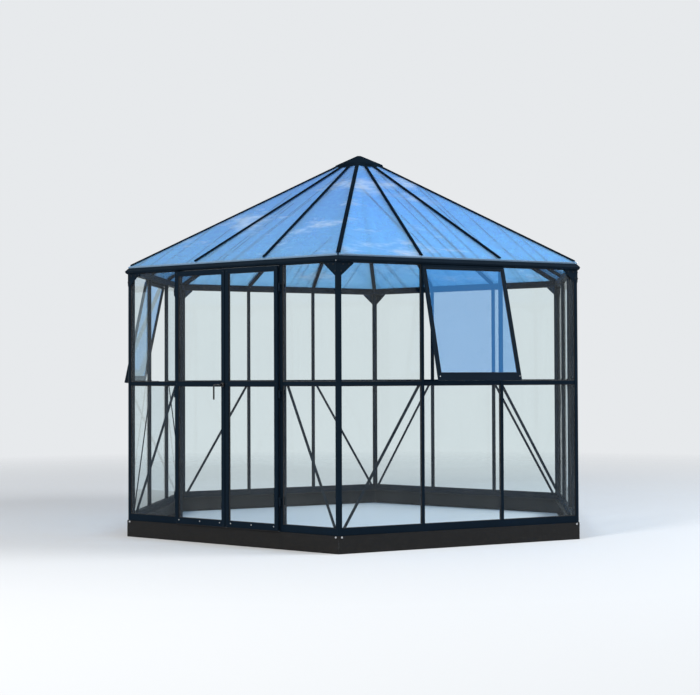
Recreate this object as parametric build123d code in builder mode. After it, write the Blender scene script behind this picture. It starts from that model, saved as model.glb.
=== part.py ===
from build123d import *
import math
import os

# A six-sided glass greenhouse: a dark aluminium frame on a folded steel plinth, clear glass walls of
# three bays each, a double door in the front wall, two top-hung windows that stand open, and a low
# six-sided roof of translucent twin-wall sheets under a small cap.
# Millimetres. The origin is at ground level in the middle, +Z is up and the door faces -Y.

# Plan and heights
wall_length = 1900.0
plinth_height = 120.0
wall_height = 1832.0
transom_centre = 1015.0
roof_pitch = 29.9

# Clearances
seat = 0.3
mitre_gap = 0.5
moving_gap = 6.0
pin_gap = 0.2

# Plinth of folded steel
plinth_out = 20.0
plinth_depth = 56.0
plinth_sheet = 4.0
plinth_foot = 40.0

# Wall bars, measured out from the line between the corner post axes
bar_out = 14.0
bar_in = -14.0
bar_width = 20.0
post_half = 16.0
post_out = 15.0
post_nose = 8.0
post_web = 14.0
jamb_width = 30.0
jamb_in = -30.0
jamb_inner = 460.0
sill_height = 50.0
transom_height = 27.0
transom_out = 11.0
transom_in = -11.0

# Glass
glass_thickness = 3.0
glass_out = 4.0
groove_depth = 6.5
groove_slack = 0.3
glass_bite = 5.5

# Eave beam: a box inside, a sloping nose outside and a lip that the roof sheets rest on
beam_height = 40.0
beam_in = -24.0
lip_out = 11.0
lip_height = 44.0
lip_width = 12.0
nose_out = 36.5
nose_level = 18.5
belly_out = 31.0
belly_level = 6.0
foot_out = 20.0
nose_rounding = 3.0

# Roof
sheet_thickness = 10.0
web_width = 6.0
web_slack = 1.0
cap_strip_width = 24.0
cap_strip_thickness = 4.0
rafter_width = 20.0
rafter_depth = 24.0
hip_width = 30.0
hip_depth = 32.0
strip_setback = 24.0
hub_radius = 96.0
hub_height = 62.0
hub_clearance = 3.0
sheet_top_radius = 125.0
cap_radius = 190.0
cap_flare = 7.0
cap_skirt = 20.0
cap_flat_radius = 20.0
cap_wall = 2.0
cap_turn = 30.0

# Gusset plates and braces
plate_leg = 90.0
plate_tip = 9.0
plate_thickness = 3.0
brace_width = 20.0
brace_thickness = 4.0
brace_corner = 5.0

# Door leaves, hung in front of the door posts
leaf_lap = 8.0
leaf_thickness = 22.0
leaf_stile = 30.0
leaf_top_rail = 33.0
leaf_mid_rail = 34.0
leaf_bottom_rail = 42.0
leaf_meeting_gap = 6.0
leaf_lift = 9.0
leaf_gap = 7.0

# Door hinges
hinge_pin_radius = 4.0
hinge_knuckle_radius = 7.0
hinge_knuckle_height = 28.0
hinge_reach = 9.0
hinge_forward = 1.0
hinge_low_inset = 171.0
hinge_high_inset = 176.0
hinge_tab_thickness = 4.0

# Door handle
handle_drop = 7.0
handle_radius = 6.0
handle_neck = 32.0
handle_arm = 50.0
handle_grip = 105.0
handle_bend = 14.0
rose_radius = 17.0
rose_thickness = 7.0

# Windows, hung below the eave beam and standing open
window_lap = 10.0
window_drop = 814.0
window_angles = {"right": 16.3, "left": 11.7}
window_bar = 26.0
window_top_bar = 14.0
window_bottom_bar = 52.0
window_thickness = 18.0
window_gap = 2.0
window_hinge_drop = 4.0
window_head_height = 12.0
window_head_depth = 15.0
stay_width = 14.0
stay_thickness = 3.0

# Worked out from the sizes above
apothem = wall_length * math.cos(math.radians(30))
eave = plinth_height + wall_height
sill_top = plinth_height + sill_height
transom_middle = plinth_height + transom_centre
transom_low = transom_middle - transom_height / 2
transom_high = transom_middle + transom_height / 2
groove_width = glass_thickness + 2 * groove_slack
groove_out = glass_out - groove_slack
bay_line = wall_length / 6
window_half_width = bay_line + window_lap
pitch = math.radians(roof_pitch)
rise = math.tan(pitch)
sheet_edge = apothem + lip_out
apex = eave + lip_height + seat + (apothem + lip_out) * rise
hip_rise = rise * math.cos(math.radians(30))
hip_pitch = math.atan(hip_rise)
hip_fall = math.sin(pitch) * 0.5 / (
    math.sin(pitch) * math.cos(math.radians(30)) * math.sin(hip_pitch) + math.cos(pitch) * math.cos(hip_pitch)
)
leaf_edge = jamb_inner + leaf_lap
leaf_in = bar_out + leaf_gap
leaf_out = leaf_in + leaf_thickness
leaf_low = plinth_height + leaf_lift
leaf_high = eave - moving_gap
hinge_line = leaf_edge + hinge_reach
hinge_out = (leaf_in + leaf_out) / 2 + hinge_forward
hinge_lowest = leaf_low + hinge_low_inset
hinge_highest = leaf_high - hinge_high_inset
hinge_levels = (hinge_lowest, (hinge_lowest + hinge_highest) / 2, hinge_highest)
walls = {"front": -90, "front_right": -30, "back_right": 30, "back": 90, "back_left": 150, "front_left": 210}
closed_walls = [name for name in walls if name != "front"]
window_walls = {"right": "front_right", "left": "front_left"}


def direction(angle):
    """Unit vector in plan at an angle from +X."""
    return Vector(math.cos(math.radians(angle)), math.sin(math.radians(angle)), 0)


def wall_plan(angle, height):
    """Level plane at a wall: x points out of the wall, y runs along it."""
    return Plane(origin=direction(angle) * apothem + Vector(0, 0, height), x_dir=direction(angle), z_dir=(0, 0, 1))


def wall_face(angle, out):
    """Upright plane along a wall: x runs along it, y is the height, the normal points out."""
    return Plane(origin=direction(angle) * (apothem + out), x_dir=direction(angle + 90), z_dir=direction(angle))


def wall_section(angle):
    """Upright plane across a wall at its middle: x points out, y is the height."""
    return Plane(origin=direction(angle) * apothem, x_dir=direction(angle), z_dir=direction(angle - 90))


def mitre_planes(angle):
    """The two planes that bound a wall's piece at the corners, less half a mitre gap."""
    planes = []
    for turn in (-30, 30):
        normal = direction(angle + turn - math.copysign(90, turn))
        planes.append(Plane(origin=normal * (mitre_gap / 2), z_dir=normal))
    return planes


def mitred_length(profile, angle, rounded=(), rounding=0.0):
    """A section drawn as (out, height) points, run along a wall and mitred at both corners.

    The points named as rounded get a fillet."""
    with BuildPart() as length:
        with BuildSketch(wall_section(angle)) as section:
            Polygon(*profile, align=None)
            for point in rounded:
                fillet(section.vertices().sort_by_distance(point)[0], radius=rounding)
        extrude(amount=wall_length, both=True)
        for plane in mitre_planes(angle):
            split(bisect_by=plane, keep=Keep.TOP)
    return length.part


def save(part, name):
    part.label = name
    export_step(part, f"parts/{name}.step")


def at_wall(angle, out, along, height):
    """A point given by its distance out of a wall, along it and above the ground."""
    return direction(angle) * (apothem + out) + direction(angle + 90) * along + Vector(0, 0, height)


os.makedirs("parts", exist_ok=True)

# Plinth: a folded channel under each wall, mitred at the corners
plinth_profile = [
    (plinth_out, 0),
    (plinth_out, plinth_height),
    (plinth_out - plinth_depth, plinth_height),
    (plinth_out - plinth_depth, plinth_height - plinth_sheet),
    (plinth_out - plinth_sheet, plinth_height - plinth_sheet),
    (plinth_out - plinth_sheet, plinth_sheet),
    (plinth_out - plinth_foot, plinth_sheet),
    (plinth_out - plinth_foot, 0),
]
for name, angle in walls.items():
    save(mitred_length(plinth_profile, angle), f"plinth_{name}")

# Corner posts: a bent profile with a glass groove towards each wall and a web inside
half_turn = math.radians(30)
post_corner = (
    -post_half * math.sin(half_turn) + post_out * math.cos(half_turn),
    post_half * math.cos(half_turn) + post_out * math.sin(half_turn),
)
post_back = (
    -post_half * math.sin(half_turn) + bar_in * math.cos(half_turn),
    post_half * math.cos(half_turn) + bar_in * math.sin(half_turn),
)
post_web_end = post_back[0] - post_web
post_tip = post_out / math.cos(half_turn)
nose_trim = (
    post_tip - post_nose * math.sin(half_turn),
    post_nose * math.cos(half_turn),
)
with BuildPart() as corner_posts:
    with BuildSketch(Plane.XY.offset(plinth_height + seat)):
        with PolarLocations(wall_length, 6):
            Polygon(
                nose_trim,
                post_corner,
                post_back,
                (post_web_end, post_back[1]),
                (post_web_end, -post_back[1]),
                (post_back[0], -post_back[1]),
                (post_corner[0], -post_corner[1]),
                (nose_trim[0], -nose_trim[1]),
                align=None,
            )
        for angle in walls.values():
            for way in (-1, 1):
                centre = at_wall(angle, groove_out + groove_width / 2, way * (wall_length / 2 - post_half), 0)
                with Locations(Location((centre.X, centre.Y, 0), angle)):
                    Rectangle(groove_width, 2 * groove_depth, mode=Mode.SUBTRACT)
    extrude(amount=wall_height - 2 * seat)
save(corner_posts.part, "corner_posts")

# Bars between the bays, with a glass groove on both sides
with BuildPart() as glazing_bars:
    for name in closed_walls:
        with BuildSketch(wall_plan(walls[name], sill_top + seat)):
            for along in (-bay_line, bay_line):
                with Locations(((bar_out + bar_in) / 2, along)):
                    Rectangle(bar_out - bar_in, bar_width)
                for way in (-1, 1):
                    with Locations((groove_out + groove_width / 2, along + way * bar_width / 2)):
                        Rectangle(groove_width, 2 * groove_depth, mode=Mode.SUBTRACT)
        extrude(amount=eave - sill_top - 2 * seat)
save(glazing_bars.part, "glazing_bars")

# Door posts, with a glass groove on the side away from the door
with BuildPart() as door_posts:
    with BuildSketch(wall_plan(walls["front"], plinth_height + seat)):
        for way in (-1, 1):
            with Locations(((bar_out + jamb_in) / 2, way * (jamb_inner + jamb_width / 2))):
                Rectangle(bar_out - jamb_in, jamb_width)
            with Locations((groove_out + groove_width / 2, way * (jamb_inner + jamb_width))):
                Rectangle(groove_width, 2 * groove_depth, mode=Mode.SUBTRACT)
    extrude(amount=wall_height - 2 * seat)
save(door_posts.part, "door_posts")

# Spans between uprights, as distances along a wall
post_side = wall_length / 2 - post_half
closed_spans = [
    (-post_side, -bay_line - bar_width / 2),
    (-bay_line + bar_width / 2, bay_line - bar_width / 2),
    (bay_line + bar_width / 2, post_side),
]
door_spans = [(-post_side, -jamb_inner - jamb_width), (jamb_inner + jamb_width, post_side)]


def spans_of(name):
    return door_spans if name == "front" else closed_spans


# Sill rails on the plinth, with a glass groove along the top
with BuildPart() as sill_rails:
    for name, angle in walls.items():
        for low, high in door_spans if name == "front" else [(-post_side, post_side)]:
            with BuildSketch(wall_face(angle, bar_in)):
                with Locations(((low + high) / 2, plinth_height + seat + sill_height / 2)):
                    Rectangle(high - low - 2 * seat, sill_height - seat)
            extrude(amount=bar_out - bar_in)
            with BuildSketch(wall_face(angle, groove_out)):
                with Locations(((low + high) / 2, sill_top)):
                    Rectangle(high - low, 2 * groove_depth)
            extrude(amount=groove_width, mode=Mode.SUBTRACT)
save(sill_rails.part, "sill_rails")

# Transoms between the uprights at half height, with a groove above and below
with BuildPart() as transoms:
    for name, angle in walls.items():
        for low, high in spans_of(name):
            with BuildSketch(wall_face(angle, transom_in)):
                with Locations(((low + high) / 2, transom_middle)):
                    Rectangle(high - low - 2 * seat, transom_height)
            extrude(amount=transom_out - transom_in)
            with BuildSketch(wall_face(angle, groove_out)):
                for level in (transom_low, transom_high):
                    with Locations(((low + high) / 2, level)):
                        Rectangle(high - low, 2 * groove_depth)
            extrude(amount=groove_width, mode=Mode.SUBTRACT)
save(transoms.part, "transoms")

# Eave beams, with a sloping nose outside, a lip for the roof sheets and a glass groove below
beam_nose = (nose_out, eave + nose_level)
beam_belly = (belly_out, eave + belly_level)
beam_profile = [
    (beam_in, eave),
    (foot_out, eave),
    beam_belly,
    beam_nose,
    (lip_out, eave + lip_height),
    (lip_out - lip_width, eave + lip_height + lip_width * rise),
    (lip_out - lip_width, eave + beam_height),
    (beam_in, eave + beam_height),
]
with BuildPart() as eave_beams:
    for angle in walls.values():
        add(mitred_length(beam_profile, angle, rounded=(beam_nose, beam_belly), rounding=nose_rounding))
    for name, angle in walls.items():
        for low, high in spans_of(name):
            with BuildSketch(wall_face(angle, groove_out)):
                with Locations(((low + high) / 2, eave)):
                    Rectangle(high - low + 2 * groove_depth, 2 * groove_depth)
            extrude(amount=groove_width, mode=Mode.SUBTRACT)
save(eave_beams.part, "eave_beams")

# Glass: an upper and a lower pane in every bay, but no upper pane behind a window
glass_levels = [
    (sill_top - glass_bite, transom_low + glass_bite),
    (transom_high - glass_bite, eave + glass_bite),
]
for name, angle in walls.items():
    with BuildPart() as glass:
        with BuildSketch(wall_face(angle, glass_out)):
            for bay, (low, high) in enumerate(spans_of(name)):
                for level, (bottom, top) in enumerate(glass_levels):
                    if name in window_walls.values() and bay == 1 and level == 1:
                        continue
                    with Locations(((low + high) / 2, (bottom + top) / 2)):
                        Rectangle(high - low + 2 * glass_bite, top - bottom)
        extrude(amount=glass_thickness)
    save(glass.part, f"glass_{name}")

# Triangular plates that tie the corner posts to the eave beams
plate_out = post_out + seat
with BuildPart() as corner_plates:
    for angle in walls.values():
        with BuildSketch(wall_face(angle, plate_out)):
            for way in (-1, 1):
                Polygon(
                    (way * (wall_length / 2), eave - seat),
                    (way * (post_side - plate_leg), eave - seat),
                    (way * (post_side - plate_leg), eave - seat - plate_tip),
                    (way * post_side, eave - seat - plate_leg),
                    (way * (wall_length / 2), eave - seat - plate_leg),
                    align=None,
                )
        extrude(amount=plate_thickness)
save(corner_plates.part, "corner_plates")

# Flat braces inside the lower halves of the two outer bays of every wall
brace_out = bar_in - seat - brace_thickness
brace_end_reach = math.hypot(brace_width / 2, brace_width / 2 - brace_corner)
with BuildPart() as wall_braces:
    for name, angle in walls.items():
        inner = jamb_inner + jamb_width + brace_end_reach + seat if name == "front" else bay_line
        with BuildSketch(wall_face(angle, brace_out)) as pair:
            for way in (-1, 1):
                foot = Vector(way * (post_side - brace_width), sill_top - brace_width)
                head = Vector(way * inner, transom_high)
                run = head - foot
                with Locations(Location(tuple((foot + head) / 2), math.degrees(math.atan2(run.Y, run.X)))):
                    Rectangle(run.length + brace_width, brace_width)
            chamfer(pair.vertices(), length=brace_corner)
        extrude(amount=brace_thickness)
save(wall_braces.part, "wall_braces")

# Roof. Each of the six slopes is split by two rafters that fan out from the top, like the hips


def roof_face(angle, lift=0.0):
    """Plane of a slope's sheets: the origin at the top, x level and y up the slope."""
    normal = direction(angle) * math.sin(pitch) + Vector(0, 0, math.cos(pitch))
    return Plane(origin=Vector(0, 0, apex) + normal * lift, x_dir=direction(angle + 90), z_dir=normal)


def hip_axes(angle):
    """The direction down the hip at a wall's right end, and the one square to it that points up."""
    out = direction(angle + 30)
    run = out * math.cos(hip_pitch) - Vector(0, 0, math.sin(hip_pitch))
    up = out * math.sin(hip_pitch) + Vector(0, 0, math.cos(hip_pitch))
    return run, up


def bar_section(strip_half, body_half, body_depth, fall):
    """Outline of a roof bar: a body under the sheets, a web between them and a strip on top.

    The fall is the slope of the sheets away from the bar on both sides."""
    lean = math.sqrt(1 + fall ** 2)
    web = web_width / 2

    def level(thickness, across):
        return thickness * lean - fall * across

    strip_low = sheet_thickness + seat
    strip_high = strip_low + cap_strip_thickness
    half = [
        (strip_half, level(strip_high, strip_half)),
        (strip_half, level(strip_low, strip_half)),
        (web, level(strip_low, web)),
        (web, level(-seat, web)),
        (body_half, level(-seat, body_half)),
        (body_half, -body_depth),
    ]
    return [(0, level(strip_high, 0))] + half + [(-x, y) for x, y in reversed(half)]


def roof_bar(profile, run, up, length):
    """A bar that starts at the top, follows the run and ends above the eave beam."""
    with BuildPart() as bar:
        with BuildSketch(Plane(origin=(0, 0, apex), x_dir=up.cross(run), z_dir=run)):
            Polygon(*profile, align=None)
        extrude(amount=length)
        split(bisect_by=Plane.XY.offset(eave + beam_height + seat), keep=Keep.TOP)
        with BuildSketch(Plane.XY.offset(eave)):
            Circle(hub_radius + seat)
        extrude(amount=apex, mode=Mode.SUBTRACT)
    return bar.part


slope_length = sheet_edge / math.cos(pitch)
eave_half = sheet_edge * math.tan(math.radians(30))
hip_profile = bar_section(hip_width / 2, hip_width / 2, hip_depth, hip_fall)
rafter_profile = bar_section(cap_strip_width / 2, rafter_width / 2, rafter_depth, 0)

with BuildPart() as hip_rafters:
    for angle in walls.values():
        run, up = hip_axes(angle)
        length = sheet_edge / math.cos(math.radians(30)) / math.cos(hip_pitch) - strip_setback
        add(roof_bar(hip_profile, run, up, length))
save(hip_rafters.part, "hip_rafters")

with BuildPart() as rafters:
    for angle in walls.values():
        face = roof_face(angle)
        for way in (-1, 1):
            run = face.x_dir * way * eave_half / 3 - face.y_dir * slope_length
            add(roof_bar(rafter_profile, run.normalized(), face.z_dir, run.length - strip_setback))
save(rafters.part, "rafters")

# Twin-wall sheets between the bars, three on each slope
web_side = web_width / 2 + web_slack
sheet_top = sheet_top_radius / math.cos(pitch)
for name, angle in walls.items():
    with BuildPart() as sheets:
        with BuildSketch(roof_face(angle)):
            for third in (-1, 0, 1):
                corners = []
                for edge, down in ((-1, slope_length), (1, slope_length), (1, sheet_top), (-1, sheet_top)):
                    fan = (2 * third + edge) / 3 * eave_half / slope_length
                    corners.append((fan * down - edge * web_side * math.sqrt(1 + fan ** 2), -down))
                Polygon(*corners, align=None)
        extrude(amount=sheet_thickness)
    save(sheets.part, f"roof_sheets_{name}")

# Hub that all the roof bars meet, and the cap over it
strip_rise = (sheet_thickness + seat + cap_strip_thickness) / math.cos(pitch)
hub_top = apex + strip_rise - hub_radius * hip_rise - hub_clearance
with BuildPart() as roof_hub:
    with BuildSketch(Plane.XY.offset(hub_top - hub_height)):
        Circle(hub_radius)
    extrude(amount=hub_height)
save(roof_hub.part, "roof_hub")

cap_lift = cap_wall / math.cos(hip_pitch) + seat


def cap_level(radius):
    """Height of the cap's outside at a corner radius. Its faces lie on the hip rafters' strips."""
    return apex + strip_rise + cap_lift - radius * math.cos(math.radians(30)) * hip_rise


def six_sided(low_radius, low, high_radius, high, turn=0.0):
    """A solid with six flat sides that narrows between two levels, given its corner radius at both."""
    narrowing = (low_radius - high_radius) * math.cos(math.radians(30))
    with BuildPart() as solid:
        with BuildSketch(Plane.XY.offset(low)):
            RegularPolygon(low_radius, 6, rotation=turn)
        extrude(amount=high - low, taper=math.degrees(math.atan2(narrowing, high - low)))
    return solid.part


def cap_shape(inset, drop):
    """The cap's outline as a solid: a low pyramid on a flared skirt, with corners over the wall middles."""
    corner_inset = inset / math.cos(math.radians(30))
    rim_radius, rim = cap_radius - corner_inset, cap_level(cap_radius) - drop
    with BuildPart() as shape:
        add(six_sided(rim_radius + cap_flare, cap_level(cap_radius) - cap_skirt, rim_radius, rim, cap_turn))
        add(six_sided(rim_radius, rim, cap_flat_radius, cap_level(cap_flat_radius) - drop, cap_turn))
    return shape.part


bar_top_level = apex + strip_rise + seat / 2
tip_radius = cap_flat_radius / 2
bar_tops = six_sided(
    2 * cap_radius, bar_top_level - 2 * cap_radius * hip_rise, tip_radius, bar_top_level - tip_radius * hip_rise
)

with BuildPart() as roof_cap:
    add(cap_shape(0, 0))
    add(cap_shape(cap_wall, cap_wall / math.cos(hip_pitch)), mode=Mode.SUBTRACT)
    add(bar_tops, mode=Mode.SUBTRACT)
save(roof_cap.part, "roof_cap")

# Door leaves with their glass, hinges and handle. The left leaf is on the -X side
for side_name, way in (("left", -1), ("right", 1)):
    leaf_middle = way * (leaf_edge + leaf_meeting_gap / 2) / 2
    leaf_width = leaf_edge - leaf_meeting_gap / 2
    light_width = leaf_width - 2 * leaf_stile
    mid_low = transom_middle - leaf_mid_rail / 2
    lights = [(leaf_low + leaf_bottom_rail, mid_low), (mid_low + leaf_mid_rail, leaf_high - leaf_top_rail)]
    pane_out = (leaf_in + leaf_out) / 2 - glass_thickness / 2
    with BuildPart() as leaf:
        with BuildSketch(wall_face(walls["front"], leaf_in)):
            with Locations((leaf_middle, (leaf_low + leaf_high) / 2)):
                Rectangle(leaf_width, leaf_high - leaf_low)
            for low, high in lights:
                with Locations((leaf_middle, (low + high) / 2)):
                    Rectangle(light_width, high - low, mode=Mode.SUBTRACT)
        extrude(amount=leaf_thickness)
        with BuildSketch(wall_face(walls["front"], pane_out - groove_slack)):
            for low, high in lights:
                with Locations((leaf_middle, (low + high) / 2)):
                    Rectangle(light_width + 2 * groove_depth, high - low + 2 * groove_depth)
        extrude(amount=groove_width, mode=Mode.SUBTRACT)
    save(leaf.part, f"door_{side_name}_frame")

    with BuildPart() as panes:
        with BuildSketch(wall_face(walls["front"], pane_out)):
            for low, high in lights:
                with Locations((leaf_middle, (low + high) / 2)):
                    Rectangle(light_width + 2 * glass_bite, high - low + 2 * glass_bite)
        extrude(amount=glass_thickness)
    save(panes.part, f"door_{side_name}_glass")

    with BuildPart() as sleeves:
        for level in hinge_levels:
            low = level + hinge_knuckle_height + seat
            with BuildSketch(wall_plan(walls["front"], low)):
                with Locations((hinge_out, way * hinge_line)):
                    Circle(hinge_knuckle_radius)
                with Locations((hinge_out, way * (hinge_line + leaf_edge + seat) / 2)):
                    Rectangle(hinge_tab_thickness, hinge_reach - seat)
                with Locations((hinge_out, way * hinge_line)):
                    Circle(hinge_pin_radius + pin_gap, mode=Mode.SUBTRACT)
            extrude(amount=hinge_knuckle_height)
    save(sleeves.part, f"door_{side_name}_hinges")

with BuildPart() as hinge_pins:
    for way in (-1, 1):
        for level in hinge_levels:
            with BuildSketch(wall_plan(walls["front"], level)):
                with Locations((hinge_out, way * hinge_line)):
                    Circle(hinge_knuckle_radius)
                with Locations(((hinge_out + bar_out + seat) / 2, way * (hinge_line + hinge_tab_thickness / 2))):
                    Rectangle(hinge_out - bar_out - seat, hinge_tab_thickness)
            extrude(amount=hinge_knuckle_height)
            with BuildSketch(wall_plan(walls["front"], level + hinge_knuckle_height)):
                with Locations((hinge_out, way * hinge_line)):
                    Circle(hinge_pin_radius)
            extrude(amount=hinge_knuckle_height)
save(hinge_pins.part, "door_hinge_pins")

# Handle: a round rose on the left leaf and a bent lever that turns in it
handle_along = -(leaf_meeting_gap + leaf_stile) / 2
handle_level = transom_middle - handle_drop
with BuildPart() as rose:
    with BuildSketch(wall_face(walls["front"], leaf_out + seat)):
        with Locations((handle_along, handle_level)):
            Circle(rose_radius)
    extrude(amount=rose_thickness)
save(rose.part, "door_left_rose")

lever_out = leaf_out + rose_thickness + 2 * seat
with BuildPart() as lever:
    with BuildLine():
        path = FilletPolyline(
            at_wall(walls["front"], lever_out, handle_along, handle_level),
            at_wall(walls["front"], lever_out + handle_neck, handle_along, handle_level),
            at_wall(walls["front"], lever_out + handle_neck, handle_along - handle_arm, handle_level),
            at_wall(walls["front"], lever_out + handle_neck, handle_along - handle_arm, handle_level - handle_grip),
            radius=handle_bend,
        )
    with BuildSketch(Plane(origin=path @ 0, z_dir=path % 0)):
        Circle(handle_radius)
    sweep()
save(lever.part, "door_handle")

# Windows: a frame hung from a head rail, its glass and a stay that holds it open
window_hinge_out = bar_out + window_gap + window_thickness / 2
window_hinge_level = eave - window_head_height - window_hinge_drop


def window_plane(side_name, lift):
    """Plane of an open window: the origin at its hinge line, y up along the window."""
    angle = walls[window_walls[side_name]]
    lean = math.radians(window_angles[side_name])
    normal = direction(angle) * math.cos(lean) + Vector(0, 0, math.sin(lean))
    origin = at_wall(angle, window_hinge_out, 0, window_hinge_level) + normal * lift
    return Plane(origin=origin, x_dir=direction(angle + 90), z_dir=normal)


for side_name in window_walls:
    light_low = -window_drop + window_bottom_bar
    light_high = -window_top_bar
    light_half = window_half_width - window_bar
    with BuildPart() as frame:
        with BuildSketch(window_plane(side_name, -window_thickness / 2)):
            with Locations((0, -window_drop / 2)):
                Rectangle(2 * window_half_width, window_drop)
            with Locations((0, (light_low + light_high) / 2)):
                Rectangle(2 * light_half, light_high - light_low, mode=Mode.SUBTRACT)
        extrude(amount=window_thickness)
        with BuildSketch(window_plane(side_name, -groove_width / 2)):
            with Locations((0, (light_low + light_high) / 2)):
                Rectangle(2 * (light_half + groove_depth), light_high - light_low + 2 * groove_depth)
        extrude(amount=groove_width, mode=Mode.SUBTRACT)
    save(frame.part, f"window_{side_name}_frame")

    with BuildPart() as pane:
        with BuildSketch(window_plane(side_name, -glass_thickness / 2)):
            with Locations((0, (light_low + light_high) / 2)):
                Rectangle(2 * (light_half + glass_bite), light_high - light_low + 2 * glass_bite)
        extrude(amount=glass_thickness)
    save(pane.part, f"window_{side_name}_glass")

head_level = eave - seat - window_head_height / 2
with BuildPart() as window_heads:
    for wall_name in window_walls.values():
        with BuildSketch(wall_face(walls[wall_name], bar_out + seat)):
            with Locations((0, head_level)):
                Rectangle(2 * window_half_width, window_head_height)
        extrude(amount=window_head_depth)
save(window_heads.part, "window_heads")

with BuildPart() as window_stays:
    for side_name, wall_name in window_walls.items():
        angle = walls[wall_name]
        foot = at_wall(angle, transom_out + seat, 0, transom_high)
        head = window_plane(side_name, -window_thickness / 2 - seat).from_local_coords(
            Vector(0, -window_drop + window_bottom_bar / 2, 0)
        )
        run = head - foot
        with BuildSketch(Plane(origin=foot, x_dir=direction(angle + 90), z_dir=run.normalized())):
            Rectangle(stay_width, stay_thickness)
        extrude(amount=run.length)
save(window_stays.part, "window_stays")
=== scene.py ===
import math
import random

import bpy
from mathutils import Matrix, Vector


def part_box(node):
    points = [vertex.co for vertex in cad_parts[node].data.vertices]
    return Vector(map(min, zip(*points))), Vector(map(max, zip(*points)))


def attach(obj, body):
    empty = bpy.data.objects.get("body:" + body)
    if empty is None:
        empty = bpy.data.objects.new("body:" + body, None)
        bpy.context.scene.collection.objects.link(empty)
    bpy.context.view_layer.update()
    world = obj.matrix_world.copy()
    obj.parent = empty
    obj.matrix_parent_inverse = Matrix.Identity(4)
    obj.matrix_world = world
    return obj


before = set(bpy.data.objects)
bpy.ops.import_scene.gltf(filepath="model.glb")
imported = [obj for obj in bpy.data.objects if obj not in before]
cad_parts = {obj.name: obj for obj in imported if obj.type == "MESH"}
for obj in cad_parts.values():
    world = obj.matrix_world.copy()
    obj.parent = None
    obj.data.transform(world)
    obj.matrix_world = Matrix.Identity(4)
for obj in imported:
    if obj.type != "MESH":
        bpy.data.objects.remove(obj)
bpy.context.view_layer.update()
random.seed(7)

# Sizes in metres, the same as in the model
wall_length = 1.9
apothem = wall_length * math.cos(math.pi / 6)
bay_line = wall_length / 6
post_reach = 0.016
post_side = wall_length / 2 - post_reach
bar_half = 0.010
jamb_inner, jamb_outer = 0.460, 0.490
bar_out, bar_in = 0.014, -0.014
glass_out, glass_thickness = 0.004, 0.003
sill_height = 0.050
leaf_out, leaf_thickness = 0.043, 0.022
leaf_stile, leaf_top_rail, leaf_mid_rail, leaf_bottom_rail = 0.030, 0.033, 0.034, 0.042
window_lap = 0.010
window_half = bay_line + window_lap
window_drop, window_bar, window_top_bar, window_bottom_bar = 0.814, 0.026, 0.014, 0.052
window_thickness = 0.018
window_leans = {"right": math.radians(16.3), "left": math.radians(11.7)}
window_hinge_out, window_hinge_below_eave = 0.025, 0.016
roof_pitch = math.radians(29.9)
beam_lip_out, beam_lip_height = 0.011, 0.044
seat = 0.0003
sheet_thickness, sheet_top_radius, web_half = 0.010, 0.125, 0.004
strip_top, strip_setback = 0.0143, 0.024
rose_thickness, handle_drop = 0.007, 0.007
walls = {"front": -90, "front_right": -30, "back_right": 30, "back": 90, "back_left": 150, "front_left": 210}
window_walls = {"right": "front_right", "left": "front_left"}
door_sides = {"left": -1, "right": 1}
sharp_angle = math.radians(35)

# Places that are read from the model's nodes, or follow from them
plinth_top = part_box("plinth_back")[1].z
plinth_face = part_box("plinth_back")[1].y - apothem
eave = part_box("eave_beams")[0].z
transom_low, transom_high = (corner.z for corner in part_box("transoms"))
transom_middle = (transom_low + transom_high) / 2
sill_top = plinth_top + sill_height
leaf_low, leaf_high = (corner.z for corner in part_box("door_left_frame"))
leaf_edge = -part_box("door_left_frame")[0].x
leaf_meeting = -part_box("door_left_frame")[1].x
leaf_middle_out = leaf_out - leaf_thickness / 2
sheet_edge = apothem + beam_lip_out
slope_length = sheet_edge / math.cos(roof_pitch)
eave_half = sheet_edge * math.tan(math.pi / 6)
apex = eave + beam_lip_height + seat + sheet_edge * math.tan(roof_pitch)
hub_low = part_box("roof_hub")[0].z
cap_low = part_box("roof_cap")[0].z
cap_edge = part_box("roof_cap")[1].y
hip_pitch = math.atan(math.tan(roof_pitch) * math.cos(math.pi / 6))


def direction(angle):
    """Unit vector in plan at an angle from +X."""
    return Vector((math.cos(math.radians(angle)), math.sin(math.radians(angle)), 0))


def axes(x, y, z, origin):
    """Matrix with these three axes at an origin."""
    placed = Matrix((x, y, z)).transposed().to_4x4()
    placed.translation = origin
    return placed


def at_wall(angle, out, along=0.0, height=0.0):
    """Local x runs along the wall, y is up and z points out of it."""
    normal, run = direction(angle), direction(angle + 90)
    origin = normal * (apothem + out) + run * along + Vector((0, 0, height))
    return axes(run, Vector((0, 0, 1)), normal, origin)


def at_slope(angle, lift=0.0):
    """Local origin at the roof's top, x level, y up the slope and z out of it."""
    normal = direction(angle) * math.sin(roof_pitch) + Vector((0, 0, math.cos(roof_pitch)))
    run = direction(angle + 90)
    return axes(run, normal.cross(run), normal, Vector((0, 0, apex)) + normal * lift)


def at_window(side_name, lift=0.0):
    """Local origin on an open window's hinge line, x along it, y up the window and z out of it."""
    angle, lean = walls[window_walls[side_name]], window_leans[side_name]
    normal = direction(angle) * math.cos(lean) + Vector((0, 0, math.sin(lean)))
    run = direction(angle + 90)
    hinge = direction(angle) * (apothem + window_hinge_out) + Vector((0, 0, eave - window_hinge_below_eave))
    return axes(run, normal.cross(run), normal, hinge + normal * lift)


def moved(place, x, y, z):
    """A place shifted along its own axes."""
    return place @ Matrix.Translation((x, y, z))


def turned(place, degrees, axis):
    """A place turned about one of its own axes."""
    return place @ Matrix.Rotation(math.radians(degrees), 4, axis)


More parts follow.
